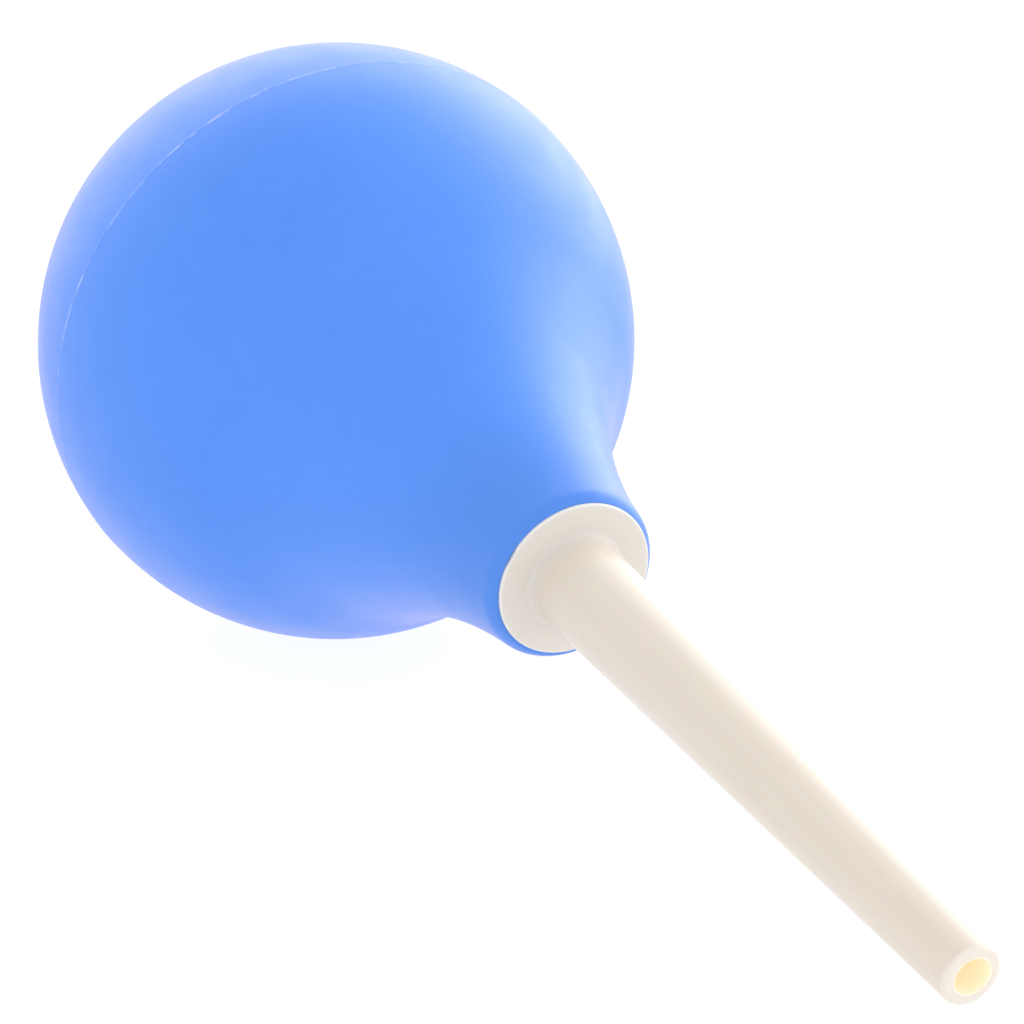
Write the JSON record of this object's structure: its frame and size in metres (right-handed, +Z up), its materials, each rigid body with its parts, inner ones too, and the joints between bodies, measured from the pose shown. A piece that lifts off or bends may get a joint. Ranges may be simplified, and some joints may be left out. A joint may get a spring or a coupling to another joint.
{
  "type": "pipette filler bulb",
  "caption": "Hollow soft squeeze ball with a short flared neck, plugged with a flanged, tapered hollow nozzle that seals on a pipette to draw liquid up.",
  "frame": {"origin": "bottom centre of the part's box, on the bench that the bulb lies on", "axes": "+Z up from the bench; the long axis lies in the XZ plane and falls 13.6 degrees towards +X, where the nozzle's tip rests on the bench"},
  "size_m": [0.143, 0.0604, 0.0599],
  "materials": {
    "bulb_rubber": "satin, finely matt moulded soft vinyl rubber",
    "nozzle_plastic": "smooth moulded ivory plastic, slightly translucent"
  },
  "bodies": {
    "nozzle": {"nozzle": "nozzle_plastic"},
    "bulb": {"bulb": "bulb_rubber"}
  },
  "joints": [
    {"name": "bulb_pull", "type": "slide", "parent": "nozzle", "child": "bulb", "axis": [-0.9719, 0, 0.2355], "range_m": [0, 0.014]}
  ]
}
